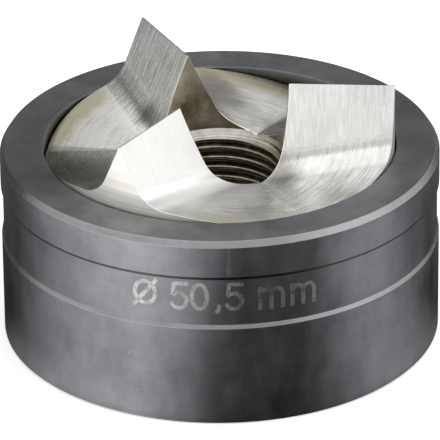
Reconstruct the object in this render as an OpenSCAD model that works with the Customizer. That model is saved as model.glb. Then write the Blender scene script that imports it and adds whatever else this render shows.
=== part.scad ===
// Knockout punch set for sheet metal: a three-toothed punch seated in its die cup.
// Millimetres, +Z up, origin on the tool axis at the underside of the die.
// The first tooth points along +X and the others follow every third of a turn.

/* [Punch] */
// Cutting diameter of the punch
punch_d = 50.5; // [36:0.5:90]
// Number of cutting teeth
tooth_count = 3; // [3:1:4]
// Height of the tooth ridges above the die rim with the punch seated
tooth_rise = 9.6; // [7:0.1:13]
// Tilt of each tooth flank from upright
flank_tilt = 24.5; // [18:0.5:28]
// Width of the narrow flat along each ridge
ridge_w = 0.2; // [0.1:0.05:0.6]
// Depth of the valley creases below the die rim
valley_drop = 2.75; // [1.5:0.05:4]
// Slope of the valley floor up from its crease
valley_slope = 10; // [5:0.5:14]
// Radius between a flank and the valley floor
root_r = 5; // [2:0.1:6]
// Bevel around the seated end of the punch
foot_bevel = 0.8; // [0.3:0.1:2]

/* [Draw stud thread] */
// Outside diameter of the draw stud that the punch screws onto
stud_d = 19.05; // [10:0.05:24]
// Pitch of the draw stud thread
stud_pitch = 1.5875; // [1:0.0125:2.5]
// Gap between the draw stud and the round inner ends of the teeth
eye_gap = 0.475; // [0.2:0.025:2]
// Depth of the start of the countersink below the die rim
eye_drop = 2.55; // [1.5:0.05:3.5]
// Bevel at the seated end of the thread
thread_lead = 1; // [0.4:0.1:2]

/* [Die cup] */
// Radial clearance between the punch and the mouth of the die
guide_gap = 0.25; // [0.1:0.05:0.6]
// Wall of the die at its mouth
die_wall = 6.25; // [4.5:0.05:12]
// Depth of the cup from the rim to its floor
cup_depth = 19.8; // [14:0.1:40]
// Thickness of the cup floor
floor_t = 9; // [5:0.1:16]
// Height of the straight cutting land below the rim
land_h = 8; // [4:0.1:10]
// Radial relief below the cutting land
land_relief = 0.5; // [0.2:0.05:1.5]
// Bevel at the cutting edge of the mouth
mouth_bevel = 0.15; // [0.1:0.05:0.5]
// Radial gap between the draw stud and its hole in the cup floor
stud_gap = 0.5; // [0.2:0.05:1.5]
// Bevel at both ends of the draw stud hole
hole_bevel = 0.8; // [0.3:0.1:2]
// Width of the bevel around the rim, seen from above
rim_bevel_w = 0.55; // [0.3:0.05:1.5]
// Height of the bevel around the rim
rim_bevel_h = 0.85; // [0.3:0.05:2]
// Bevel around the underside
base_bevel = 0.4; // [0.2:0.05:1.5]

/* [Marking band] */
// Depth of the top of the marking band below the rim
band_drop = 5.95; // [3:0.05:8]
// Height of the marking band
band_h = 7.1; // [3:0.05:12]
// Depth of the marking band into the wall
band_depth = 0.3; // [0.15:0.05:0.8]
// Height of the bevels that close the band at its two edges
band_runout = 0.55; // [0.3:0.05:1.5]

/* [Hidden] */
$fn = 128;
steel_black = [0.23, 0.24, 0.26];
steel_bright = [0.80, 0.79, 0.75];
punch_r = punch_d / 2;
mouth_r = punch_r + guide_gap;
die_r = mouth_r + die_wall;
die_h = floor_t + cup_depth;
stud_r = stud_d / 2;
hole_r = stud_r + stud_gap;
// Share of the pitch that a nut thread leaves off the stud diameter on each side
nut_thread_share = 0.54125;
thread_r = stud_r - nut_thread_share * stud_pitch;
eye_r = stud_r + eye_gap;
eye_z = die_h - eye_drop;
countersink_h = eye_r - thread_r;
seat_z = floor_t;
tip_z = die_h + tooth_rise;
crease_z = die_h - valley_drop;
band_top = die_h - band_drop;
band_foot = band_top - band_h;
relief_z = die_h - land_h;
// Half the angle between neighbouring teeth
half_turn = 180 / tooth_count;
// Reach of the valley cutters past the punch
reach = 2 * punch_r;
// Outward normal of the flank beside the first tooth
flank_n = [0, cos(flank_tilt), sin(flank_tilt)];
// Upward normal of the valley floor beside the first tooth
floor_n = [
    -sin(valley_slope) * sin(half_turn),
    sin(valley_slope) * cos(half_turn),
    cos(valley_slope)
];
// Direction of the root line, where that flank and floor would meet
root_cross = cross(flank_n, floor_n);
root_dir = root_cross / norm(root_cross);
// Direction across the valley floor, away from the tooth
across_dir = cross(floor_n, root_dir);
// Angle of the corner between flank and floor
root_angle = 180 - acos(flank_n * floor_n);
// Point of the root line above the tool axis
root_fall = tan(valley_slope) * cos(half_turn);
root_y = (ridge_w / 2 * cos(flank_tilt) + (tip_z - crease_z) * sin(flank_tilt))
    / (cos(flank_tilt) - root_fall * sin(flank_tilt));
root_z = crease_z - root_fall * root_y;
// Turn that lays an upright cutter along the root line
root_turn = [
    atan2(floor_n[2], root_dir[2]),
    -asin(across_dir[2]),
    atan2(across_dir[1], across_dir[0])
];
// Distance from the corner to the ends of its rounding
root_tangent = root_r / tan(root_angle / 2);

// Section of the space beside a tooth, with its rounded corner
module valley_section() {
    polygon([
        [root_tangent, 0],
        [reach, 0],
        [reach, reach],
        [reach * cos(root_angle), reach * sin(root_angle)],
        [root_tangent * cos(root_angle), root_tangent * sin(root_angle)]
    ]);
    translate([root_tangent, root_r])
        circle(r = root_r);
}

// Space beside the first tooth, above the valley floor
module beside_tooth() {
    translate([0, root_y, root_z])
        rotate(root_turn)
            linear_extrude(height = 2 * reach, center = true)
                valley_section();
}

// Valley between the first tooth and the next
module valley() {
    intersection() {
        beside_tooth();
        rotate([0, 0, 2 * half_turn])
            mirror([0, 1, 0])
                beside_tooth();
    }
}

// Turned blank of the punch with the draw stud hole
module punch_blank() {
    rotate_extrude()
        polygon([
            [thread_r + thread_lead, seat_z],
            [punch_r - foot_bevel, seat_z],
            [punch_r, seat_z + foot_bevel],
            [punch_r, tip_z],
            [eye_r, tip_z],
            [eye_r, eye_z],
            [thread_r, eye_z - countersink_h],
            [thread_r, seat_z + thread_lead]
        ]);
}

// Punch with its ridged teeth
module punch() {
    color(steel_bright)
        difference() {
            punch_blank();
            for (k = [0 : tooth_count - 1])
                rotate([0, 0, 2 * half_turn * k])
                    valley();
        }
}

// Die cup with its cutting mouth, marking band and draw stud hole
module die() {
    color(steel_black)
        rotate_extrude()
            polygon([
                [hole_r + hole_bevel, 0],
                [die_r - base_bevel, 0],
                [die_r, base_bevel],
                [die_r, band_foot - band_runout],
                [die_r - band_depth, band_foot],
                [die_r - band_depth, band_top],
                [die_r, band_top + band_runout],
                [die_r, die_h - rim_bevel_h],
                [die_r - rim_bevel_w, die_h],
                [mouth_r + mouth_bevel, die_h],
                [mouth_r, die_h - mouth_bevel],
                [mouth_r, relief_z],
                [mouth_r + land_relief, relief_z - land_relief],
                [mouth_r + land_relief, floor_t],
                [hole_r + hole_bevel, floor_t],
                [hole_r, floor_t - hole_bevel],
                [hole_r, hole_bevel]
            ]);
}

die();
punch();
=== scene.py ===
import math

import bpy
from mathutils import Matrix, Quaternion, Vector


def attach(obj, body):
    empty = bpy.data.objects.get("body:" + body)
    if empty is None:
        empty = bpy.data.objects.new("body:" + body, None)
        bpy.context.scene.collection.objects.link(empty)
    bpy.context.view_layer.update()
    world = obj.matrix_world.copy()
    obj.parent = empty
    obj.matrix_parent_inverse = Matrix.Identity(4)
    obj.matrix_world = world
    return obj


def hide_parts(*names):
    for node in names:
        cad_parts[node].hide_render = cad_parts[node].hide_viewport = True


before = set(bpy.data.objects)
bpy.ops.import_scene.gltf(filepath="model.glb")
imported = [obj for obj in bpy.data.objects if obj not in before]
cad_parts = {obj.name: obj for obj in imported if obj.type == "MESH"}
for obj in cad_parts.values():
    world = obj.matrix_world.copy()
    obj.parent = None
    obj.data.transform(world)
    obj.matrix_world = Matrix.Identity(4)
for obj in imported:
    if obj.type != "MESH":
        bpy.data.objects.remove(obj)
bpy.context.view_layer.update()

MM = 0.001
TAU = 2 * math.pi

# Sizes of the solids, in millimetres.
PUNCH_R = 25.25
RIDGE_W = 0.2
FLANK_TILT = math.radians(24.5)
VALLEY_SLOPE = math.radians(10)
HALF_TURN = math.radians(60)
ROOT_R = 5.0
DIE_R = 31.75
DIE_H = 28.8
FLOOR_T = 9.0
TIP_Z = 38.4
CREASE_Z = 26.05
EYE_R = 10.0
EYE_Z = 26.25
THREAD_R = 8.6658
STUD_R = 9.525
PITCH = 1.5875
THREAD_PHASE = 0.486
SEAT_Z = 9.0
FOOT_BEVEL = 0.8
THREAD_LEAD = 1.0
MOUTH_R = 25.5
HOLE_R = 10.025
HOLE_BEVEL = 0.8
BAND_R = 31.45
BAND_TOP = 22.85
BAND_FOOT = 15.75
BAND_RUNOUT = 0.55
BASE_BEVEL = 0.4
RIM_BEVEL_W = 0.55
RIM_BEVEL_H = 0.85
MOUTH_BEVEL = 0.15
RELIEF_Z = 20.8
LAND_RELIEF = 0.5

# Angle, in radians, and length, in millimetres, below which two places count as one.
SAME_ANGLE = 1e-5
SAME_PLACE = 1e-6


def lerp(a, b, t):
    return a + (b - a) * t


def ramp(value, low, high):
    """Straight ramp from 0 at low to 1 at high."""
    return min(max((value - low) / (high - low), 0), 1)


# Shader helpers


class Graph:
    """Short calls for building a node tree."""

    def __init__(self, tree):
        self.tree = tree
        tree.nodes.clear()

    def node(self, kind, inputs=None, **props):
        made = self.tree.nodes.new(kind)
        for key, value in props.items():
            setattr(made, key, value)
        for key, value in (inputs or {}).items():
            self.put(made.inputs[key], value)
        return made

    def put(self, socket, value):
        if isinstance(value, bpy.types.NodeSocket):
            self.tree.links.new(value, socket)
        else:
            socket.default_value = value

    def math(self, operation, a, b=0.0, c=0.0):
        return self.node("ShaderNodeMath", {0: a, 1: b, 2: c}, operation=operation).outputs[0]

    def add(self, a, b):
        return self.math("ADD", a, b)

    def mul(self, a, b):
        return self.math("MULTIPLY", a, b)

    def step(self, value, low, high, to_low=0.0, to_high=1.0):
        """Smooth ramp of value from low to high."""
        inputs = {"Value": value, "From Min": low, "From Max": high, "To Min": to_low, "To Max": to_high}
        return self.node("ShaderNodeMapRange", inputs, interpolation_type="SMOOTHSTEP").outputs[0]

    def line(self, value, low, high, to_low=0.0, to_high=1.0):
        """Straight, clamped ramp of value from low to high."""
        inputs = {"Value": value, "From Min": low, "From Max": high, "To Min": to_low, "To Max": to_high}
        return self.node("ShaderNodeMapRange", inputs).outputs[0]

    def distance(self, x, y):
        """Distance from the tool axis."""
        return self.math("SQRT", self.add(self.mul(x, x), self.mul(y, y)))

    def mix(self, factor, a, b):
        """Mix of two colours, by the node's colour sockets: its inputs 6 and 7 and its output 2."""
        made = self.node("ShaderNodeMix", data_type="RGBA")
        self.put(made.inputs[0], factor)
        self.put(made.inputs[6], a)
        self.put(made.inputs[7], b)
        return made.outputs[2]

    def split(self, vector):
        return self.node("ShaderNodeSeparateXYZ", {0: vector}).outputs

    def join(self, x, y, z=0.0):
        return self.node("ShaderNodeCombineXYZ", {0: x, 1: y, 2: z}).outputs[0]

    def stretch(self, vector, scale):
        return self.node("ShaderNodeVectorMath", {0: vector, 1: scale}, operation="MULTIPLY").outputs[0]

    def noise(self, vector, scale, detail=3.0, roughness=0.55):
        inputs = {"Vector": vector, "Scale": scale, "Detail": detail, "Roughness": roughness}
        return self.node("ShaderNodeTexNoise", inputs).outputs[0]

    def uv(self, name):
        return self.node("ShaderNodeUVMap", uv_map=name).outputs[0]

    def place(self):
        return self.node("ShaderNodeTexCoord").outputs["Object"]

    def attribute(self, name):
        return self.node("ShaderNodeAttribute", attribute_name=name).outputs["Fac"]

    def bump(self, height, distance, strength=1.0, normal=None):
        inputs = {"Height": height, "Distance": distance, "Strength": strength}
        if normal is not None:
            inputs["Normal"] = normal
        return self.node("ShaderNodeBump", inputs).outputs[0]


def material(name):
    """A new material with its graph."""
    mat = bpy.data.materials.new(name)
    mat.use_nodes = True
    return mat, Graph(mat.node_tree)


def steel(name, anisotropy, turn):
    """A metal material with its graph and shader."""
    mat, g = material(name)
    shader = g.node("ShaderNodeBsdfPrincipled")
    shader.inputs["Metallic"].default_value = 1.0
    shader.inputs["Anisotropic"].default_value = anisotropy
    shader.inputs["Anisotropic Rotation"].default_value = turn
    out = g.node("ShaderNodeOutputMaterial")
    g.put(out.inputs["Surface"], shader.outputs[0])
    return mat, g, shader


def rgb(r, g, b):
    return (r, g, b, 1.0)


# Mesh helpers

# Rows of points round each corner of a turned profile, and the most that a rounding takes of an edge.
ROUND_STEPS = 4
CORNER_ROWS = ROUND_STEPS + 1
ROUND_SHARE = 0.45


def rounded_profile(corners):
    """Points, normals and wear of a closed outline with a small radius at each corner."""
    made = []
    count = len(corners)
    for i, (r, z, radius) in enumerate(corners):
        here = Vector((r, z))
        back = Vector(corners[i - 1][:2]) - here
        ahead = Vector(corners[(i + 1) % count][:2]) - here
        radius = min(radius, ROUND_SHARE * back.length, ROUND_SHARE * ahead.length)
        back.normalize()
        ahead.normalize()
        n_back = Vector((-back.y, back.x))
        n_ahead = Vector((ahead.y, -ahead.x))
        bend = math.pi - back.angle(ahead)
        cut = radius * math.tan(bend / 2)
        start = here + back * cut
        outer = n_back.dot(ahead) < 0
        inward = -radius if outer else radius
        centre = start + n_back * inward
        for k in range(CORNER_ROWS):
            t = k / ROUND_STEPS
            n = n_back.slerp(n_ahead, t)
            p = centre - n * inward
            made.append((p.x, p.y, n.x, n.y, math.sin(math.pi * t) if outer else 0.0))
    return made


def mesh_piece(name, verts, faces, normals=None):
    """A smooth object in the scene, made from points in millimetres."""
    mesh = bpy.data.meshes.new(name)
    mesh.from_pydata([(x * MM, y * MM, z * MM) for x, y, z in verts], [], faces)
    mesh.polygons.foreach_set("use_smooth", [True] * len(mesh.polygons))
    if normals:
        mesh.normals_split_custom_set(normals)
    piece = bpy.data.objects.new(name, mesh)
    bpy.context.scene.collection.objects.link(piece)
    return piece


def put_uv(mesh, name, coordinates):
    layer = mesh.uv_layers.new(name=name)
    layer.data.foreach_set("uv", [c for pair in coordinates for c in pair])


def put_points(mesh, name, values):
    mesh.attributes.new(name, "FLOAT", "POINT").data.foreach_set("value", values)


# Die

DIE_SEGMENTS = 288
# Radius of a broken edge, and of one that is nearly sharp.
EDGE = 0.1
FINE_EDGE = 0.05
# Profile corners where a bevel starts that is lightened by a painted highlight and some rubbing, with its
# brightness, and where the downward bevel darkened by painted shade starts.
BEVEL_SHEEN_AND_WEAR = ((3, 0.85), (7, 1.0))
SHADED_BEVEL = 5
# Share of wear on the edges near the mouth, and how far out from the mouth that holds.
MOUTH_WEAR = 0.3
MOUTH_EDGE = 0.3


def bevel_rows(corner):
    """Rows of the profile from the middle of one rounded corner to the middle of the next."""
    middle = corner * CORNER_ROWS + ROUND_STEPS // 2
    return range(middle, middle + CORNER_ROWS + 1)


def make_die():
    """The die cup, turned from its profile with softly broken edges."""
    corners = [
        (HOLE_R + HOLE_BEVEL, 0, FINE_EDGE),
        (DIE_R - BASE_BEVEL, 0, EDGE),
        (DIE_R, BASE_BEVEL, EDGE),
        (DIE_R, BAND_FOOT - BAND_RUNOUT, EDGE),
        (BAND_R, BAND_FOOT, FINE_EDGE),
        (BAND_R, BAND_TOP, FINE_EDGE),
        (DIE_R, BAND_TOP + BAND_RUNOUT, FINE_EDGE),
        (DIE_R, DIE_H - RIM_BEVEL_H, EDGE),
        (DIE_R - RIM_BEVEL_W, DIE_H, EDGE),
        (MOUTH_R + MOUTH_BEVEL, DIE_H, FINE_EDGE),
        (MOUTH_R, DIE_H - MOUTH_BEVEL, FINE_EDGE),
        (MOUTH_R, RELIEF_Z, FINE_EDGE),
        (MOUTH_R + LAND_RELIEF, RELIEF_Z - LAND_RELIEF, FINE_EDGE),
        (MOUTH_R + LAND_RELIEF, FLOOR_T, FINE_EDGE),
        (HOLE_R + HOLE_BEVEL, FLOOR_T, FINE_EDGE),
        (HOLE_R, FLOOR_T - HOLE_BEVEL, FINE_EDGE),
        (HOLE_R, HOLE_BEVEL, FINE_EDGE),
    ]
    profile = rounded_profile(corners)
    rows = len(profile)
    bevels = [0.0] * rows
    for corner, rubbed in BEVEL_SHEEN_AND_WEAR:
        for k in bevel_rows(corner):
            bevels[k] = rubbed
    # Rows of the downward bevel above the band, which get painted shade.
    bevel_shade_rows = [float(k in bevel_rows(SHADED_BEVEL)) for k in range(rows)]
    wear = [w * (MOUTH_WEAR if r < MOUTH_R + MOUTH_EDGE else 1.0) for r, _, _, _, w in profile]
    way = [0.0]
    for a, b in zip(profile, profile[1:] + profile[:1]):
        way.append(way[-1] + math.hypot(b[0] - a[0], b[1] - a[1]))
    verts = []
    for j in range(DIE_SEGMENTS):
        c, s = math.cos(TAU * j / DIE_SEGMENTS), math.sin(TAU * j / DIE_SEGMENTS)
        verts += [(r * c, r * s, z) for r, z, _, _, _ in profile]
    faces, normals, uv = [], [], []
    for j in range(DIE_SEGMENTS):
        for i in range(rows):
            ring = ((j, i), (j + 1, i), (j + 1, i + 1), (j, i + 1))
            faces.append([(a % DIE_SEGMENTS) * rows + b % rows for a, b in ring])
            for a, b in ring:
                angle = TAU * a / DIE_SEGMENTS
                nr, nz = profile[b % rows][2:4]
                normals.append((nr * math.cos(angle), nr * math.sin(angle), nz))
                uv.append((angle * DIE_R, way[b]))
    piece = mesh_piece("die_cup", verts, faces, normals)
    put_uv(piece.data, "turning", uv)
    put_points(piece.data, "wear", wear * DIE_SEGMENTS)
    put_points(piece.data, "bevel", bevels * DIE_SEGMENTS)
    put_points(piece.data, "bevel_shade", bevel_shade_rows * DIE_SEGMENTS)
    return piece


# Punch

FLANK_N = Vector((0, math.cos(FLANK_TILT), math.sin(FLANK_TILT)))
FLOOR_N = Vector((
    -math.sin(VALLEY_SLOPE) * math.sin(HALF_TURN),
    math.sin(VALLEY_SLOPE) * math.cos(HALF_TURN),
    math.cos(VALLEY_SLOPE),
))
ROOT_DIR = FLANK_N.cross(FLOOR_N).normalized()
ACROSS = FLOOR_N.cross(ROOT_DIR)
ROOT_ANGLE = math.pi - FLANK_N.angle(FLOOR_N)
FALL = math.tan(VALLEY_SLOPE) * math.cos(HALF_TURN)
TANGENT = ROOT_R / math.tan(ROOT_ANGLE / 2)
# Height by which the floors beside each tooth were left above the nominal ones.
LIFT = (0.0, 0.0, 0.6)
# Halvings in the search for the edge of the countersink.
HALVINGS = 40


class Root:
    """The corner between a tooth's flanks and its valley floors, with its rounding."""

    def __init__(self, lift):
        self.crease_z = CREASE_Z + lift
        y = (RIDGE_W / 2 * math.cos(FLANK_TILT) + (TIP_Z - self.crease_z) * math.sin(FLANK_TILT)) / (
            math.cos(FLANK_TILT) - FALL * math.sin(FLANK_TILT))
        corner = Vector((0, y, self.crease_z - FALL * y))
        self.floor_end = corner + ACROSS * TANGENT
        self.flank_end = corner + (ACROSS * math.cos(ROOT_ANGLE) + FLOOR_N * math.sin(ROOT_ANGLE)) * TANGENT
        self.centre = self.floor_end + FLOOR_N * ROOT_R


ROOTS = [Root(lift) for lift in LIFT]


def crease_angle(tooth, side, r):
    """Angle from a tooth to the crease on one side of it, at radius r."""
    higher = LIFT[tooth] - LIFT[(tooth + side) % 3]
    return HALF_TURN + math.asin(higher / (2 * math.tan(VALLEY_SLOPE)) / r)


def line_angle(point, r):
    """Angle from the tooth where a line along the root reaches radius r."""
    d = ROOT_DIR
    a = d.x * d.x + d.y * d.y
    b = point.x * d.x + point.y * d.y
    c = point.x * point.x + point.y * point.y - r * r
    t = (-b + math.sqrt(max(b * b - a * c, 0.0))) / a
    return math.atan2(point.y + t * d.y, point.x + t * d.x)


def fillet_point(root, x, y):
    """Height and normal of the rounding between flank and floor."""
    d = ROOT_DIR
    ax, ay = x - root.centre.x, y - root.centre.y
    along = ax * d.x + ay * d.y
    a = 1 - d.z * d.z
    c = ax * ax + ay * ay - along * along - ROOT_R * ROOT_R
    z = (along * d.z - math.sqrt(max((along * d.z) ** 2 - a * c, 0.0))) / a
    w = Vector((ax, ay, z))
    normal = -(w - d * w.dot(d)).normalized()
    return root.centre.z + z, normal


def half_point(tooth, side, zone, f, r):
    """Place and distance past the foot of the flank at radius r beside a tooth, turned to the first tooth."""
    root = ROOTS[tooth]
    crease = crease_angle(tooth, side, r)
    flank = min(line_angle(root.flank_end, r), crease)
    floor = min(max(line_angle(root.floor_end, r), flank), crease)
    if zone == "flank":
        y = lerp(RIDGE_W / 2, r * math.sin(flank), f)
        z = TIP_Z - (y - RIDGE_W / 2) / math.tan(FLANK_TILT)
        past = (y - r * math.sin(flank)) / math.sin(FLANK_TILT)
        return Vector((math.sqrt(r * r - y * y), y, z)), past
    if zone == "fillet":
        angle = lerp(flank, floor, f)
        x, y = r * math.cos(angle), r * math.sin(angle)
        z, normal = fillet_point(root, x, y)
        return Vector((x, y, z)), ROOT_R * FLANK_N.angle(normal)
    angle = lerp(floor, crease, f)
    x, y = r * math.cos(angle), r * math.sin(angle)
    z = root.crease_z + math.tan(VALLEY_SLOPE) * (x * math.sin(HALF_TURN) - y * math.cos(HALF_TURN))
    past = ROOT_R * FLANK_N.angle(FLOOR_N) + r * (angle - floor)
    return Vector((x, y, z)), past


def eye_radius(tooth, side, zone, f):
    """Radius where the top of the punch meets the round opening or its countersink."""
    def over(r):
        return half_point(tooth, side, zone, f, r)[0].z - (EYE_Z - (EYE_R - r))
    if over(EYE_R) >= 0:
        return EYE_R
    low, high = THREAD_R, EYE_R
    for _ in range(HALVINGS):
        middle = (low + high) / 2
        if over(middle) > 0:
            low = middle
        else:
            high = middle
    return (low + high) / 2


# Slices round one side of a tooth.
FLANK_SLICES = 8
FILLET_SLICES = 14
FLOOR_SLICES = 12
SLICES = (
    [("flank", k / FLANK_SLICES) for k in range(FLANK_SLICES + 1)]
    + [("fillet", k / FILLET_SLICES) for k in range(1, FILLET_SLICES + 1)]
    + [("floor", k / FLOOR_SLICES) for k in range(1, FLOOR_SLICES + 1)]
)
CREASE = ("floor", 1.0)
# Rows along a column: up the round opening, over the top and down the land.
EYE_ROWS = 5
TOP_ROWS = 34
LAND_ROWS = 4
# Broken edges at the opening and at the land: their widths, the strip that fades out, their brightness, which
# is edge wear lightened further by a painted highlight.
BREAK = 0.16
LAND_BREAK = 0.08
EDGE_W = 0.06
EYE_BRIGHT = 1.0
LAND_BRIGHT = 0.2
# Outward and upward parts of the normals of the turned faces.
SLANT = math.sqrt(0.5)
TURNED_N = {
    "eye": (-1.0, 0.0),
    "cone": (-SLANT, SLANT),
    "land": (1.0, 0.0),
    "foot": (SLANT, -SLANT),
    "seat": (0.0, -1.0),
}
# Material slots of the punch.
GROUND_SLOT, EYE_SLOT, LAND_SLOT = 0, 1, 2
# Radius that turns the angle along a grinding arc into millimetres.
ARC_R = 17.0
# Shifts in the map of the grain, so that no two faces share their grain.
TOOTH_SHIFT = 40.0
SIDE_SHIFT = 20.0
FLANK_SHIFT = 200
ARC_SHIFT = 150
# The ground floors look slightly crowned: tilt of the normal per millimetre from the middle radius.
CROWN = 0.0115
CROWN_R = 17.5
# How coarsely each side of each tooth was ground, and where the wheel left a ragged end.
COARSE = {(0, -1): 0.6, (0, 1): 1.0, (1, -1): 1.1, (1, 1): 1.7, (2, -1): 1.0, (2, 1): 0.15}
FLOOR_COARSE = 1.2
WHEEL_END = {(0, -1): 1.0, (1, 1): 0.5, (2, 1): 0.0}
OTHER_WHEEL_END = 0.2
# How far the floor beside each tooth has dulled towards its outer edge.
TARNISH = {(0, 1): 0.8, (1, -1): 1.0, (1, 1): 1.0, (2, -1): 0.3, (2, 1): 0.5}
# Painted light and shade: how much lighter or darker than the others each floor is coloured, beside its tooth
# and far from it.
FLOOR_LIGHT_SHIFT = {(0, -1): (0.0, -0.1), (1, -1): (-0.1, 0.0), (1, 1): (0.08, 0.1), (2, 1): (0.17, -0.1)}
# Distances past the foot of the flank, in millimetres, over which these come in or change.
CROWN_RANGE = (0.0, 4.0)
COARSE_RANGE = (2.0, 6.0)
TARNISH_RANGE = (3.0, 7.0)
FLOOR_LIGHT_RANGE = (1.0, 3.0)
FAR_FLOOR_LIGHT_RANGE = (6.0, 14.0)
# Painted shade on the ground top, dark spots where shadow and dark reflections fall: centre, radius and
# strength.
SHADE_SPOTS = (
    ((9.5, -6.6, 26.8), 4.8, 0.72),
    ((-10.9, 9.4, 28.4), 3.8, 0.8),
    ((-3.2, 22.6, 27.9), 3.4, 0.45),
    ((-2.2, 20.6, 27.6), 4.0, 0.5),
    ((-1.0, 18.6, 27.4), 4.0, 0.55),
    ((0.8, 17.2, 27.2), 3.4, 0.5),
    ((6.9, 11.8, 27.0), 2.8, 0.6),
)


def column(tooth, side, zone, f):
    """One path from the countersink over the punch and down to its seat, turned to the first tooth."""
    r_in = eye_radius(tooth, side, zone, f)
    rim, _ = half_point(tooth, side, zone, f, r_in)
    turn = math.atan2(rim.y, rim.x)
    path = []
    if r_in == EYE_R:
        top = max(rim.z - BREAK, EYE_Z)
        path += [("eye", EYE_R, turn, lerp(EYE_Z, top, k / (EYE_ROWS - 1)), 0.0) for k in range(EYE_ROWS)]
    else:
        cut = BREAK * SLANT
        path += [("cone", r_in - cut, turn, rim.z - cut, 0.0)] * EYE_ROWS
    first, last = r_in + BREAK, PUNCH_R - LAND_BREAK
    inner, outer = first + EDGE_W, last - EDGE_W
    reach = [first] + [lerp(inner, outer, k / (TOP_ROWS - 1)) for k in range(TOP_ROWS)] + [last]
    for r in reach:
        p, past = half_point(tooth, side, zone, f, r)
        path.append(("top", math.hypot(p.x, p.y), math.atan2(p.y, p.x), p.z, past))
    p, past = half_point(tooth, side, zone, f, PUNCH_R)
    turn = math.atan2(p.y, p.x)
    high, low = p.z - LAND_BREAK, SEAT_Z + FOOT_BEVEL
    path += [("land", PUNCH_R, turn, lerp(high, low, k / (LAND_ROWS - 1)), past) for k in range(LAND_ROWS)]
    path.append(("foot", PUNCH_R - FOOT_BEVEL, turn, SEAT_Z, past))
    path.append(("seat", THREAD_R + THREAD_LEAD, turn, SEAT_Z, past))
    return path


def punch_columns():
    """All columns once round the punch, each with its tooth, side and slice."""
    made = []
    for tooth in range(len(ROOTS)):
        for side in (-1, 1):
            run = SLICES[::-1] if side < 0 else SLICES
            for zone, f in run:
                if side > 0 and (zone, f) == CREASE:
                    continue
                made.append((tooth, side, zone, f))
    return made


def turned(vector, tooth, side):
    """A vector of the first tooth's near side, carried to another tooth and side."""
    a = 2 * HALF_TURN * tooth
    x, y = vector.x, vector.y * side
    return Vector((x * math.cos(a) - y * math.sin(a), x * math.sin(a) + y * math.cos(a), vector.z))


def to_first_tooth(x, y, tooth):
    """A place beside a tooth, carried to the near side of the first tooth."""
    back = -2 * HALF_TURN * tooth
    return x * math.cos(back) - y * math.sin(back), abs(x * math.sin(back) + y * math.cos(back))


def top_normal(tooth, side, zone, on_crease, place, past):
    """Shading normal of the ground top, with a soft crease and a slightly crowned floor."""
    x, y, _ = place
    if zone == "fillet":
        n = fillet_point(ROOTS[tooth], *to_first_tooth(x, y, tooth))[1]
    else:
        n = FLOOR_N if zone == "floor" else FLANK_N
    n = turned(n, tooth, side)
    if zone == "floor" and on_crease:
        n += turned(FLOOR_N, (tooth + side) % len(ROOTS), -side)
        n.normalize()
    r = math.hypot(x, y)
    n += Vector((x / r, y / r, 0)) * (CROWN * (r - CROWN_R) * ramp(past, *CROWN_RANGE))
    return tuple(n.normalized())


def punch_slot(kinds):
    """Material slot of a face of the punch, from the kinds of its corners."""
    if kinds <= {"eye", "cone"}:
        return EYE_SLOT
    if kinds <= {"land", "foot", "seat"}:
        return LAND_SLOT
    return GROUND_SLOT


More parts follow.
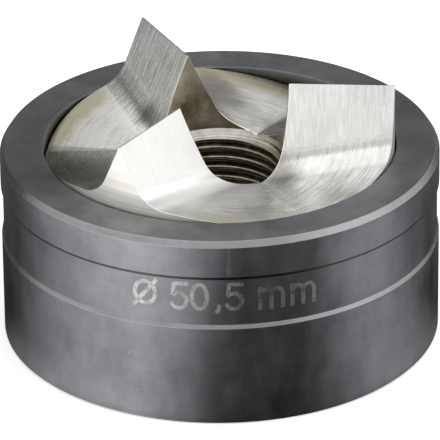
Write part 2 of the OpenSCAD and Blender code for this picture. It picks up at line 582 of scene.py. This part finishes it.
def make_punch():
    """The punch with its teeth, and the angles, radii and heights where its countersink starts."""
    columns = punch_columns()
    paths = [column(*where) for where in columns]
    rows = len(paths[0])
    row_kinds = [point[0] for point in paths[0]]
    first_top, first_land = row_kinds.index("top"), row_kinds.index("land")
    edges = {
        first_top - 1: EYE_BRIGHT,
        first_top: EYE_BRIGHT,
        first_land - 1: LAND_BRIGHT,
        first_land: LAND_BRIGHT,
    }
    verts, past, start = [], [], []
    for (tooth, side, _, _), path in zip(columns, paths):
        for k, (_, r, turn, z, distance) in enumerate(path):
            angle = turn * side + 2 * HALF_TURN * tooth
            verts.append((r * math.cos(angle), r * math.sin(angle), z))
            past.append(distance)
            if k == 0:
                start.append((angle, r, z))
    faces, normals, uv, slots = [], [], [], []
    count = len(columns)
    for j in range(count):
        tooth, side, zone, _ = columns[j]
        other = columns[(j + 1) % count]
        if side > 0 and other[1] < 0:
            zone, owner = "floor", (tooth, 1)
        elif side < 0 and other[1] > 0:
            zone, owner = "ridge", (tooth, -1)
        else:
            owner = (other[0], other[1])
            zone = other[2] if side > 0 else zone
        for i in range(rows - 1):
            ring = ((j, i), (j, i + 1), (j + 1, i + 1), (j + 1, i))
            index = [(a % count) * rows + b for a, b in ring]
            faces.append(index)
            kinds = [paths[a % count][b][0] for a, b in ring]
            for (a, _), at, kind in zip(ring, index, kinds):
                place = verts[at]
                x, y, _ = place
                r = math.hypot(x, y)
                if kind == "top":
                    here = columns[a % count]
                    face_side = here[1] if zone == "ridge" else owner[1]
                    on_crease = here[2:] == CREASE
                    normals.append(top_normal(owner[0], face_side, zone, on_crease, place, past[at]))
                else:
                    out, up = TURNED_N[kind]
                    normals.append((x / r * out, y / r * out, up))
                px, py = to_first_tooth(x, y, owner[0])
                shift = TOOTH_SHIFT * owner[0] + SIDE_SHIFT * (owner[1] > 0)
                if zone in ("ridge", "flank"):
                    uv.append((px + shift, past[at] + FLANK_SHIFT))
                else:
                    uv.append((r + shift + ARC_SHIFT, math.atan2(py, px) * ARC_R))
            slots.append(punch_slot(set(kinds)))
    piece = mesh_piece("punch_body", verts, faces, normals)
    piece.data.polygons.foreach_set("material_index", slots)
    put_uv(piece.data, "grain", uv)

    def by_side(values, other_value):
        """The value of each tooth's side, at every point."""
        return [values.get(where[:2], other_value) for where in columns for _ in range(rows)]

    # Painted light and shade on each floor, fading in past the foot of the flank.
    painted_floor_light = zip(by_side(FLOOR_LIGHT_SHIFT, (0.0, 0.0)), past)
    painted_floor_light = [lerp(*pair, ramp(p, *FAR_FLOOR_LIGHT_RANGE)) * ramp(p, *FLOOR_LIGHT_RANGE) for pair, p in painted_floor_light]
    coarse = by_side(COARSE, FLOOR_COARSE)
    coarse = [lerp(near, FLOOR_COARSE, ramp(p, *COARSE_RANGE)) for near, p in zip(coarse, past)]
    tarnish = [dull * ramp(p, *TARNISH_RANGE) for dull, p in zip(by_side(TARNISH, 0.0), past)]
    put_points(piece.data, "past_flank", past)
    put_points(piece.data, "edge", [edges.get(k, 0.0) for _ in columns for k in range(rows)])
    put_points(piece.data, "painted_floor_light", painted_floor_light)
    put_points(piece.data, "coarse", coarse)
    put_points(piece.data, "wheel_end", by_side(WHEEL_END, OTHER_WHEEL_END))
    put_points(piece.data, "tarnish", tarnish)
    return piece, start


# Thread

# Steps down the thread, in millimetres, and their numbers: fine where the opening shows it, then coarse.
FINE_STEP = 0.08
FINE_STEPS = 125
COARSE_STEP = 0.16
COARSE_STEPS = 59


def thread_radius(angle, z):
    """Radius of the nut thread's wall."""
    p = (z / PITCH - angle / TAU + THREAD_PHASE) % 1.0
    crest, slope, root = 0.25, 0.3125, 0.125
    if p < crest:
        deep = 0.0
    elif p < crest + slope:
        deep = (p - crest) / slope
    elif p < crest + slope + root:
        deep = 1.0
    else:
        deep = (1 - p) / slope
    return lerp(THREAD_R, STUD_R, deep)


def make_thread(start):
    """Countersink and helical thread below the round opening of the punch."""
    fine = [k * FINE_STEP for k in range(1, FINE_STEPS + 1)]
    coarse = [fine[-1] + k * COARSE_STEP for k in range(1, COARSE_STEPS + 1)]
    drops = [0.0] + fine + coarse
    pairs = zip(start, start[-1:] + start)
    start = [here for here, before in pairs if abs(here[0] - before[0]) > SAME_ANGLE]
    verts, flare = [], []
    rows = len(drops)
    for angle, r, z in start:
        for k, drop in enumerate(drops):
            at = max(min(z, EYE_Z - drop), SEAT_Z)
            cone = EYE_R - (EYE_Z - at)
            lead = THREAD_R + THREAD_LEAD - (at - SEAT_Z)
            turns = thread_radius(angle, at)
            wall = max(turns, cone, lead) if k else r
            verts.append((wall * math.cos(angle), wall * math.sin(angle), at))
            flare.append(1.0 if cone >= turns else 0.0)
    faces = []
    count = len(start)
    for j in range(count):
        for i in range(rows - 1):
            a, b = j * rows + i, ((j + 1) % count) * rows + i
            if max(verts[a][2] - verts[a + 1][2], verts[b][2] - verts[b + 1][2]) < SAME_PLACE:
                continue
            faces.append((a, b, b + 1, a + 1))
    piece = mesh_piece("punch_thread", verts, faces)
    put_points(piece.data, "crest", [(STUD_R - math.hypot(x, y)) / (STUD_R - THREAD_R) for x, y, _ in verts])
    put_points(piece.data, "flare", flare)
    return piece


# Size mark

# Middle of the mark round the band and up it, height of its figures and width of its strokes.
MARK_TURN = math.radians(-86.2) + 0.5 / BAND_R
MARK_Z = 20.2
MARK_H = 4.1
STROKE_W = 0.6
# Points across a stroke, as shares of its width, and the longest step along it.
STROKE_SHARES = (-0.5, -0.25, 0, 0.25, 0.5)
STROKE_STEP = 0.3
# Height of the strokes above the band.
SKIN = 0.012


def arc(cx, cy, rx, ry, a0, a1, steps=18):
    return [(cx + rx * math.cos(math.radians(lerp(a0, a1, k / steps))),
             cy + ry * math.sin(math.radians(lerp(a0, a1, k / steps)))) for k in range(steps + 1)]


FIVE = [[(0.56, 0.97), (0.13, 0.97), (0.08, 0.53)] + arc(0.29, 0.33, 0.27, 0.3, 140, -150)]
ZERO = [arc(0.3, 0.5, 0.26, 0.47, 90, 450, 32)]
ROUND_SIGN = [arc(0.45, 0.5, 0.37, 0.42, 90, 450, 32), [(0.05, 0.0), (0.85, 1.0)]]
COMMA = [[(0.18, 0.13), (0.17, 0.05), (0.11, -0.06)]]
EM = [[(0.08, 0.0), (0.08, 0.72)], arc(0.28, 0.46, 0.2, 0.24, 180, 0) + [(0.48, 0.0)],
      arc(0.68, 0.46, 0.2, 0.24, 180, 0) + [(0.88, 0.0)]]
EM_W = 0.96
MARK = [(ROUND_SIGN, 0.0), (FIVE, 1.36), (ZERO, 2.06), (COMMA, 2.86), (FIVE, 3.25), (EM, 4.36), (EM, 5.5)]


def resample(points, longest):
    """The same stroke with no step over a given length, so that it can bend round the band."""
    made = [points[0]]
    for a, b in zip(points, points[1:]):
        parts = max(1, math.ceil(math.dist(a, b) / longest))
        made += [(lerp(a[0], b[0], k / parts), lerp(a[1], b[1], k / parts)) for k in range(1, parts + 1)]
    return made


def make_mark():
    """Etched diameter mark, wrapped on the marking band."""
    verts, faces = [], []
    span = MARK[-1][1] + EM_W
    skin = BAND_R + SKIN
    wide = len(STROKE_SHARES)
    for strokes, left in MARK:
        for stroke in strokes:
            pts = [((x + left - span / 2) * MARK_H, (y - 0.5) * MARK_H) for x, y in stroke]
            pts = resample(pts, STROKE_STEP)
            closed = math.dist(pts[0], pts[-1]) < SAME_PLACE
            first = len(verts)
            for k, (x, y) in enumerate(pts):
                a = pts[k - 1] if k else (pts[-2] if closed else pts[0])
                b = pts[k + 1] if k + 1 < len(pts) else (pts[1] if closed else pts[-1])
                dx, dy = b[0] - a[0], b[1] - a[1]
                n = math.hypot(dx, dy)
                dx, dy = dx / n, dy / n
                cap = 0.0
                if not closed:
                    cap = -STROKE_W / 2 if k == 0 else STROKE_W / 2 if k + 1 == len(pts) else 0.0
                for share in STROKE_SHARES:
                    sx = x + dx * cap - dy * STROKE_W * share
                    sy = y + dy * cap + dx * STROKE_W * share
                    turn = MARK_TURN + sx / BAND_R
                    verts.append((skin * math.cos(turn), skin * math.sin(turn), MARK_Z + sy))
            for k in range(len(pts) - 1):
                for w in range(wide - 1):
                    a = first + k * wide + w
                    faces.append((a, a + 1, a + wide + 1, a + wide))
    return mesh_piece("size_mark", verts, faces)


# Materials

# A pale streak on the upper band: its middle round the die and half width, in millimetres, and the
# heights, in metres, over which it fades in and out.
STREAK_U = 152.8
STREAK_W = (0.5, 0.1)
STREAK_FOOT = (0.0233, 0.0242)
STREAK_TOP = (0.0281, 0.0277)
# A stretch of the rim lightened by a painted reflection: where it fades in and out round the die, in
# millimetres, and its heights, in metres.
RIM_SHEEN_START = (114, 130)
RIM_SHEEN_END = (154, 138)
RIM_SHEEN_Z = (0.02855, 0.02875)
# Painted shade on the wall of the mouth, darker lower down towards the punch: how far out it reaches, in
# millimetres, and its heights, in metres.
MOUTH_SHADE_REACH = 0.2
MOUTH_SHADE_Z = (0.0287, 0.0272)


def lay_round(g, shader):
    """Lays the shader's grain round the tool axis."""
    tangent = g.node("ShaderNodeTangent", direction_type="RADIAL", axis="Z")
    g.put(shader.inputs["Tangent"], tangent.outputs[0])


def black_oxide():
    mat, g, shader = steel("black_oxide", 0.6, 0.25)
    lay_round(g, shader)
    u, v, _ = g.split(g.uv("turning"))
    lines = g.noise(g.join(g.mul(u, 0.02), g.mul(v, 9.0)), 1.0, 4.0, 0.7)
    place = g.place()
    clouds = g.noise(place, 110.0, 5.0, 0.6)
    smears = g.noise(g.stretch(place, (1.0, 1.0, 0.35)), 320.0, 4.0, 0.65)
    specks = g.noise(place, 2600.0, 2.0, 0.5)
    tone = g.add(g.mul(clouds, 0.5), g.mul(smears, 0.3))
    tone = g.add(tone, g.mul(lines, 0.2))
    colour = g.mix(g.line(tone, 0.34, 0.66), rgb(0.11, 0.113, 0.125), rgb(0.24, 0.243, 0.255))
    dots = g.line(specks, 0.68, 0.78)
    colour = g.mix(g.mul(dots, 0.35), colour, rgb(0.4, 0.4, 0.4))
    # Painted highlight, with some rubbing: the rim chamfer and the bevel at the foot of the band are coloured
    # lighter.
    rubbed = g.mul(g.attribute("bevel"), g.line(smears, 0.25, 0.6, 0.6, 1.0))
    colour = g.mix(rubbed, colour, rgb(0.34, 0.34, 0.345))
    # Painted shade: the downward bevel above the band is coloured nearly black, a painted dark reflection of
    # the shadow below the die.
    colour = g.mix(g.mul(g.attribute("bevel_shade"), 0.75), colour, rgb(0.03, 0.03, 0.033))
    x, y, z = g.split(place)
    streak = g.step(g.math("ABSOLUTE", g.add(u, -STREAK_U)), *STREAK_W)
    streak = g.mul(streak, g.mul(g.step(z, *STREAK_FOOT), g.step(z, *STREAK_TOP)))
    streak = g.mul(streak, g.line(smears, 0.4, 0.6, 0.2, 1.0))
    colour = g.mix(g.mul(streak, 0.6), colour, rgb(0.42, 0.42, 0.42))
    # Painted reflection: a paler stretch of the rim's top.
    rim_sheen = g.mul(g.mul(g.step(u, *RIM_SHEEN_START), g.step(u, *RIM_SHEEN_END)), g.step(z, *RIM_SHEEN_Z))
    colour = g.mix(g.mul(rim_sheen, g.line(smears, 0.3, 0.7, 0.35, 0.75)), colour, rgb(0.38, 0.38, 0.385))
    worn = g.line(g.add(g.attribute("wear"), g.mul(g.noise(place, 900.0), 0.9)), 0.75, 1.25)
    colour = g.mix(worn, colour, rgb(0.45, 0.45, 0.45))
    # Painted shade in the gap between the mouth wall and the punch.
    inside = g.step(g.distance(x, y), (MOUTH_R + MOUTH_SHADE_REACH) * MM, MOUTH_R * MM)
    mouth_shade = g.mul(inside, g.step(z, *MOUTH_SHADE_Z, 0.1, 0.85))
    colour = g.mix(mouth_shade, colour, rgb(0.02, 0.02, 0.022))
    g.put(shader.inputs["Base Color"], colour)
    rough = g.add(g.line(smears, 0.3, 0.7, 0.3, 0.42), g.mul(lines, 0.08))
    g.put(shader.inputs["Roughness"], rough)
    g.put(shader.inputs["Normal"], g.bump(lines, 0.00001, 0.5, g.bump(clouds, 0.00004, 0.2)))
    return mat


def ground_steel():
    mat, g, shader = steel("ground_steel", 0.9, 0.0)
    tangent = g.node("ShaderNodeTangent", direction_type="UV_MAP", uv_map="grain")
    g.put(shader.inputs["Tangent"], tangent.outputs[0])
    u, v, _ = g.split(g.uv("grain"))
    fine = g.noise(g.join(g.mul(u, 8.0), g.mul(v, 0.22)), 1.0, 4.0, 0.75)
    broad = g.noise(g.join(g.mul(u, 1.3), g.mul(v, 0.03)), 1.0, 3.0, 0.6)
    scratch = g.line(g.noise(g.join(g.mul(u, 5.0), g.mul(v, 0.06)), 1.0, 2.0, 0.5), 0.66, 0.74)
    place = g.place()
    clouds = g.noise(place, 160.0, 4.0, 0.6)
    past = g.attribute("past_flank")
    coarse = g.attribute("coarse")
    ragged = g.add(past, g.mul(g.add(fine, -0.5), 2.6))
    foot = g.mul(g.step(ragged, 0.4, 0.8), g.step(ragged, 1.75, 1.5))
    patchy = g.line(g.noise(g.join(g.mul(u, 0.9), 3.0), 1.0, 2.0), 0.38, 0.6, 0.35, 1.0)
    foot = g.mul(g.mul(foot, patchy), g.attribute("wheel_end"))
    tone = g.add(g.mul(fine, 0.58), g.add(g.mul(broad, 0.14), g.mul(clouds, 0.28)))
    # Painted light and shade: each floor's tone is shifted lighter or darker.
    tone = g.add(g.add(0.5, g.attribute("painted_floor_light")), g.mul(g.add(tone, -0.5), coarse))
    colour = g.mix(g.line(tone, 0.36, 0.58), rgb(0.42, 0.415, 0.39), rgb(0.95, 0.948, 0.935))
    colour = g.mix(g.mul(g.mul(scratch, coarse), 0.35), colour, rgb(0.98, 0.98, 0.97))
    colour = g.mix(g.mul(foot, 0.7), colour, rgb(0.4, 0.395, 0.38))
    x, y, _ = g.split(place)
    warp = g.add(clouds, -0.5)
    out_from = g.add(g.distance(x, y), g.mul(warp, 0.006))
    dull = g.add(g.mul(g.step(out_from, 0.0212, 0.0232), 0.7), g.mul(g.step(out_from, 0.014, 0.023), 0.15))
    colour = g.mix(g.mul(dull, g.attribute("tarnish")), colour, rgb(0.58, 0.55, 0.37))
    # Painted shade: dark spots on the ground top.
    for centre, radius, strength in SHADE_SPOTS:
        centre = tuple(c * MM for c in centre)
        away = g.node("ShaderNodeVectorMath", {0: place, 1: centre}, operation="DISTANCE").outputs["Value"]
        shade_spot = g.step(g.add(away, g.mul(warp, 0.004)), radius * MM, 0.1 * radius * MM)
        colour = g.mix(g.mul(shade_spot, strength), colour, rgb(0.2, 0.19, 0.165))
    # Edge wear with a painted highlight: the broken edges are coloured nearly white.
    colour = g.mix(g.mul(g.attribute("edge"), 0.85), colour, rgb(0.98, 0.975, 0.96))
    g.put(shader.inputs["Base Color"], colour)
    g.put(shader.inputs["Roughness"], g.line(tone, 0.3, 0.7, 0.32, 0.2))
    pits = g.mul(g.line(g.noise(place, 2400.0, 2.0), 0.5, 0.75), coarse)
    bump = g.bump(pits, 0.00003, 0.25, g.bump(g.mul(broad, coarse), 0.00005, 0.6))
    g.put(shader.inputs["Normal"], g.bump(g.mul(fine, coarse), 0.000014, 0.7, bump))
    return mat


def eye_steel():
    mat, g, shader = steel("eye_steel", 0.4, 0.25)
    place = g.place()
    x, y, z = g.split(place)
    rings = g.noise(g.join(g.mul(x, 20.0), g.mul(y, 20.0), g.mul(z, 2600.0)), 1.0, 3.0, 0.6)
    stain = g.noise(place, 300.0, 4.0, 0.6)
    tone = g.add(g.mul(rings, 0.15), g.mul(stain, 0.85))
    colour = g.mix(g.line(tone, 0.35, 0.65), rgb(0.44, 0.385, 0.27), rgb(0.8, 0.73, 0.57))
    colour = g.mix(g.step(z, 0.03, 0.036, 0.0, 0.5), colour, rgb(0.92, 0.87, 0.72))
    g.put(shader.inputs["Base Color"], colour)
    g.put(shader.inputs["Roughness"], g.line(stain, 0.3, 0.7, 0.3, 0.45))
    g.put(shader.inputs["Normal"], g.bump(rings, 0.000004, 0.4))
    return mat


def land_steel():
    mat, g, shader = steel("land_steel", 0.3, 0.25)
    lay_round(g, shader)
    place = g.place()
    x, y, z = g.split(place)
    rings = g.noise(g.join(g.mul(x, 20.0), g.mul(y, 20.0), g.mul(z, 3000.0)), 1.0, 3.0, 0.6)
    clouds = g.noise(place, 200.0, 4.0, 0.6)
    colour = g.mix(g.line(rings, 0.35, 0.65), rgb(0.7, 0.685, 0.64), rgb(0.85, 0.84, 0.8))
    g.put(shader.inputs["Base Color"], colour)
    g.put(shader.inputs["Roughness"], g.line(clouds, 0.3, 0.7, 0.46, 0.56))
    g.put(shader.inputs["Normal"], g.bump(rings, 0.00001, 0.2))
    return mat


def thread_steel():
    mat, g, shader = steel("thread_steel", 0.0, 0.0)
    place = g.place()
    stain = g.noise(place, 700.0, 4.0, 0.65)
    x, y, z = g.split(place)
    rings = g.noise(g.join(g.mul(x, 30.0), g.mul(y, 30.0), g.mul(z, 6000.0)), 1.0, 3.0, 0.6)
    rings = g.line(g.add(g.mul(rings, 0.7), g.mul(stain, 0.3)), 0.38, 0.62)
    bright = g.mix(rings, rgb(0.2, 0.185, 0.155), rgb(0.62, 0.6, 0.55))
    dark = g.mix(rings, rgb(0.06, 0.052, 0.034), rgb(0.26, 0.23, 0.165))
    rubbed = g.mul(g.step(g.attribute("crest"), 0.75, 1.0), g.line(stain, 0.35, 0.6, 0.3, 1.0))
    dark = g.mix(rubbed, dark, rgb(0.5, 0.46, 0.37))
    g.put(shader.inputs["Base Color"], g.mix(g.attribute("flare"), dark, bright))
    g.put(shader.inputs["Roughness"], g.line(stain, 0.3, 0.7, 0.26, 0.42))
    g.put(shader.inputs["Normal"], g.bump(stain, 0.00002, 0.3))
    return mat


def etched_steel():
    mat, g, shader = steel("etched_steel", 0.0, 0.0)
    grain = g.noise(g.place(), 4200.0, 3.0, 0.6)
    faded = g.line(g.noise(g.place(), 700.0, 3.0, 0.6), 0.5, 0.62)
    colour = g.mix(g.line(grain, 0.3, 0.7), rgb(0.24, 0.24, 0.23), rgb(0.5, 0.5, 0.48))
    colour = g.mix(g.mul(faded, 0.6), colour, rgb(0.17, 0.17, 0.17))
    g.put(shader.inputs["Base Color"], colour)
    g.put(shader.inputs["Roughness"], g.line(grain, 0.3, 0.7, 0.4, 0.55))
    g.put(shader.inputs["Normal"], g.bump(grain, 0.00003, 0.5))
    return mat


# Studio

# Camera fitted to the circles of the die in the photograph: angles, and lengths in millimetres.
PHOTO_TURN = math.radians(3.8)
PHOTO_RISE = math.radians(26.977)
PHOTO_ROLL = math.radians(-0.62)
PHOTO_DISTANCE = 759.6
TARGET_SIDE = -0.056
TARGET_Z = 16.257
SENSOR_W = 36.0
LENS = 427.58
# Nearest and farthest that the camera sees, and half the sides of the planes, in metres.
CLIP = (0.05, 20.0)
FLOOR_HALF = 6.0
TABLE_HALF = 3.0
# How far the planes lie below the die, in millimetres.
FLOOR_DROP = 0.02
TABLE_DROP = 0.05


def level_plane(name, half, drop, mat):
    """A level square below the die."""
    mesh = bpy.data.meshes.new(name)
    corners = [(-half, -half, 0), (half, -half, 0), (half, half, 0), (-half, half, 0)]
    mesh.from_pydata(corners, [], [(0, 1, 2, 3)])
    mesh.materials.append(mat)
    plane = bpy.data.objects.new(name, mesh)
    plane.location.z = -drop * MM
    bpy.context.scene.collection.objects.link(plane)
    return plane


def azimuth_from_photo(g, x, y):
    """Degrees round from the side of the photograph, positive to the right."""
    c, s = math.cos(PHOTO_TURN), math.sin(PHOTO_TURN)
    side = g.add(g.mul(x, c), g.mul(y, s))
    away = g.add(g.mul(x, -s), g.mul(y, c))
    return g.math("DEGREES", g.math("ARCTAN2", side, g.mul(away, -1.0)))


def make_floor():
    """The white floor that the camera sees."""
    mat, g = material("pale_paper")
    shader = g.node("ShaderNodeBsdfPrincipled")
    shader.inputs["Roughness"].default_value = 0.9
    shader.inputs["Specular IOR Level"].default_value = 0.1
    shader.inputs["Emission Color"].default_value = rgb(1, 1, 1)
    shader.inputs["Emission Strength"].default_value = 0.45
    grain = g.noise(g.place(), 900.0, 3.0)
    g.put(shader.inputs["Base Color"], g.mix(grain, rgb(0.9, 0.9, 0.9), rgb(0.93, 0.93, 0.93)))
    out = g.node("ShaderNodeOutputMaterial")
    g.put(out.inputs["Surface"], shader.outputs[0])
    floor = level_plane("floor", FLOOR_HALF, FLOOR_DROP, mat)
    floor.visible_glossy = False


def make_table():
    """What the steel mirrors below the horizon: bright paper, the object's own soft shadow, dark behind."""
    mat, g = material("mirrored_table")
    x, y, _ = g.split(g.place())
    azimuth = azimuth_from_photo(g, x, y)
    out_from = g.distance(x, y)
    turn = g.add(g.line(out_from, 0.035, 0.045, 2.0, 6.0), g.line(out_from, 0.055, 0.075, 0.0, -8.0))
    turn = g.add(azimuth, turn)
    edge = g.add(azimuth, g.line(out_from, 0.04, 0.075, -14.0, 5.0))
    left = g.mul(g.step(turn, 4, -28), g.step(edge, -110, -38))
    turn = g.add(azimuth, g.line(out_from, 0.035, 0.08, 12.0, -3.0))
    right = g.mul(g.step(turn, 34, 68), g.step(turn, 110, 66))
    light = g.add(g.mul(left, 1.95), g.mul(right, 0.86))
    light = g.mul(light, g.line(out_from, 0.035, 0.08, 1.02, 1.2))
    light = g.add(light, g.line(out_from, 0.045, 0.08, 0.03, 0.19))
    light = g.mul(light, g.step(out_from, 0.032, 0.0335, 0.6, 1.0))
    glow = g.node("ShaderNodeEmission", {"Strength": light})
    out = g.node("ShaderNodeOutputMaterial")
    g.put(out.inputs["Surface"], glow.outputs[0])
    table = level_plane("mirrored_table", TABLE_HALF, TABLE_DROP, mat)
    table.visible_camera = table.visible_diffuse = table.visible_shadow = False
    table.visible_transmission = table.visible_volume_scatter = False


def make_world():
    """Soft boxes to the left, right, back and top, and a dark room in front and below."""
    world = bpy.data.worlds.new("studio")
    bpy.context.scene.world = world
    world.use_nodes = True
    g = Graph(world.node_tree)
    x, y, z = g.split(g.node("ShaderNodeTexCoord").outputs["Generated"])
    azimuth = azimuth_from_photo(g, x, y)
    rise = g.math("DEGREES", g.math("ARCSINE", z))

    def between(angle, low, high, soft):
        return g.mul(g.step(angle, low - soft, low + soft), g.step(angle, high + soft, high - soft))

    def box(left, right, low, high, soft_side, soft_rise, value):
        """A soft light between two azimuths and two heights, in degrees."""
        across = between(azimuth, left, right, soft_side)
        up = between(rise, low, high, soft_rise)
        return g.mul(g.mul(across, up), value)

    boxes = [
        box(-60, 60, 14, 60, 10, 5, 0.98),
        box(-111, -16, -6, 50, 6, 8, 1.0),
        box(60, 122, -6, 20, 6, 8, 1.35),
        box(40, 100, 18, 44, 8, 6, 2.3),
        g.mul(box(92, 140, 4, 40, 6, 3, 1.0), g.step(azimuth, 176, 108, 0.4, 1.25)),
        g.mul(box(134, 170, 15, 40, 4, 2, 1.0), g.step(azimuth, 180, 108, 0.55, 1.3)),
        box(140, 178, 40, 54, 4, 4, 0.75),
        box(164, 186, 15, 27, 4, 1.5, 0.62),
        box(164, 186, 26, 52, 4, 2, 0.3),
        box(-186, -164, 19, 38, 4, 2, 0.37),
        box(-186, -164, 38, 52, 4, 3, 0.7),
        box(-170, -136, 38, 52, 6, 4, 0.1),
        g.mul(g.step(rise, 50, 56), 1.25),
    ]
    light = boxes[0]
    for more in boxes[1:]:
        light = g.math("MAXIMUM", light, more)
    light = g.add(light, 0.035)
    tint = g.mix(g.step(light, 0.05, 0.5), rgb(1.0, 0.94, 0.8), rgb(1, 1, 1))
    back = g.node("ShaderNodeBackground", {"Color": tint, "Strength": light})
    out = g.node("ShaderNodeOutputWorld")
    g.put(out.inputs["Surface"], back.outputs[0])


def make_camera():
    """The photograph's camera."""
    right = Vector((math.cos(PHOTO_TURN), math.sin(PHOTO_TURN), 0))
    target = right * (TARGET_SIDE * MM) + Vector((0, 0, TARGET_Z * MM))
    level = math.cos(PHOTO_RISE)
    back = Vector((math.sin(PHOTO_TURN) * level, -math.cos(PHOTO_TURN) * level, math.sin(PHOTO_RISE)))
    data = bpy.data.cameras.new("photo_camera")
    data.sensor_width = SENSOR_W
    data.lens = LENS
    data.clip_start, data.clip_end = CLIP
    camera = bpy.data.objects.new("photo_camera", data)
    bpy.context.scene.collection.objects.link(camera)
    camera.rotation_mode = "QUATERNION"
    camera.location = target + back * (PHOTO_DISTANCE * MM)
    camera.rotation_quaternion = (-back).to_track_quat("-Z", "Y") @ Quaternion((0, 0, 1), PHOTO_ROLL)
    bpy.context.scene.camera = camera


def dress(piece, body, slot, *mats):
    for mat in mats:
        piece.data.materials.append(mat)
    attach(piece, body)


make_camera()
make_world()
make_floor()
make_table()
bpy.context.scene.view_settings.view_transform = "Standard"

die = make_die()
dress(die, "die", "die", black_oxide())
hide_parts("die")

punch, countersink = make_punch()
dress(punch, "punch", "punch", ground_steel(), eye_steel(), land_steel())
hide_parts("punch")

thread = make_thread(countersink)
dress(thread, "punch", "punch", thread_steel())

mark = make_mark()
dress(mark, "die", "die", etched_steel())
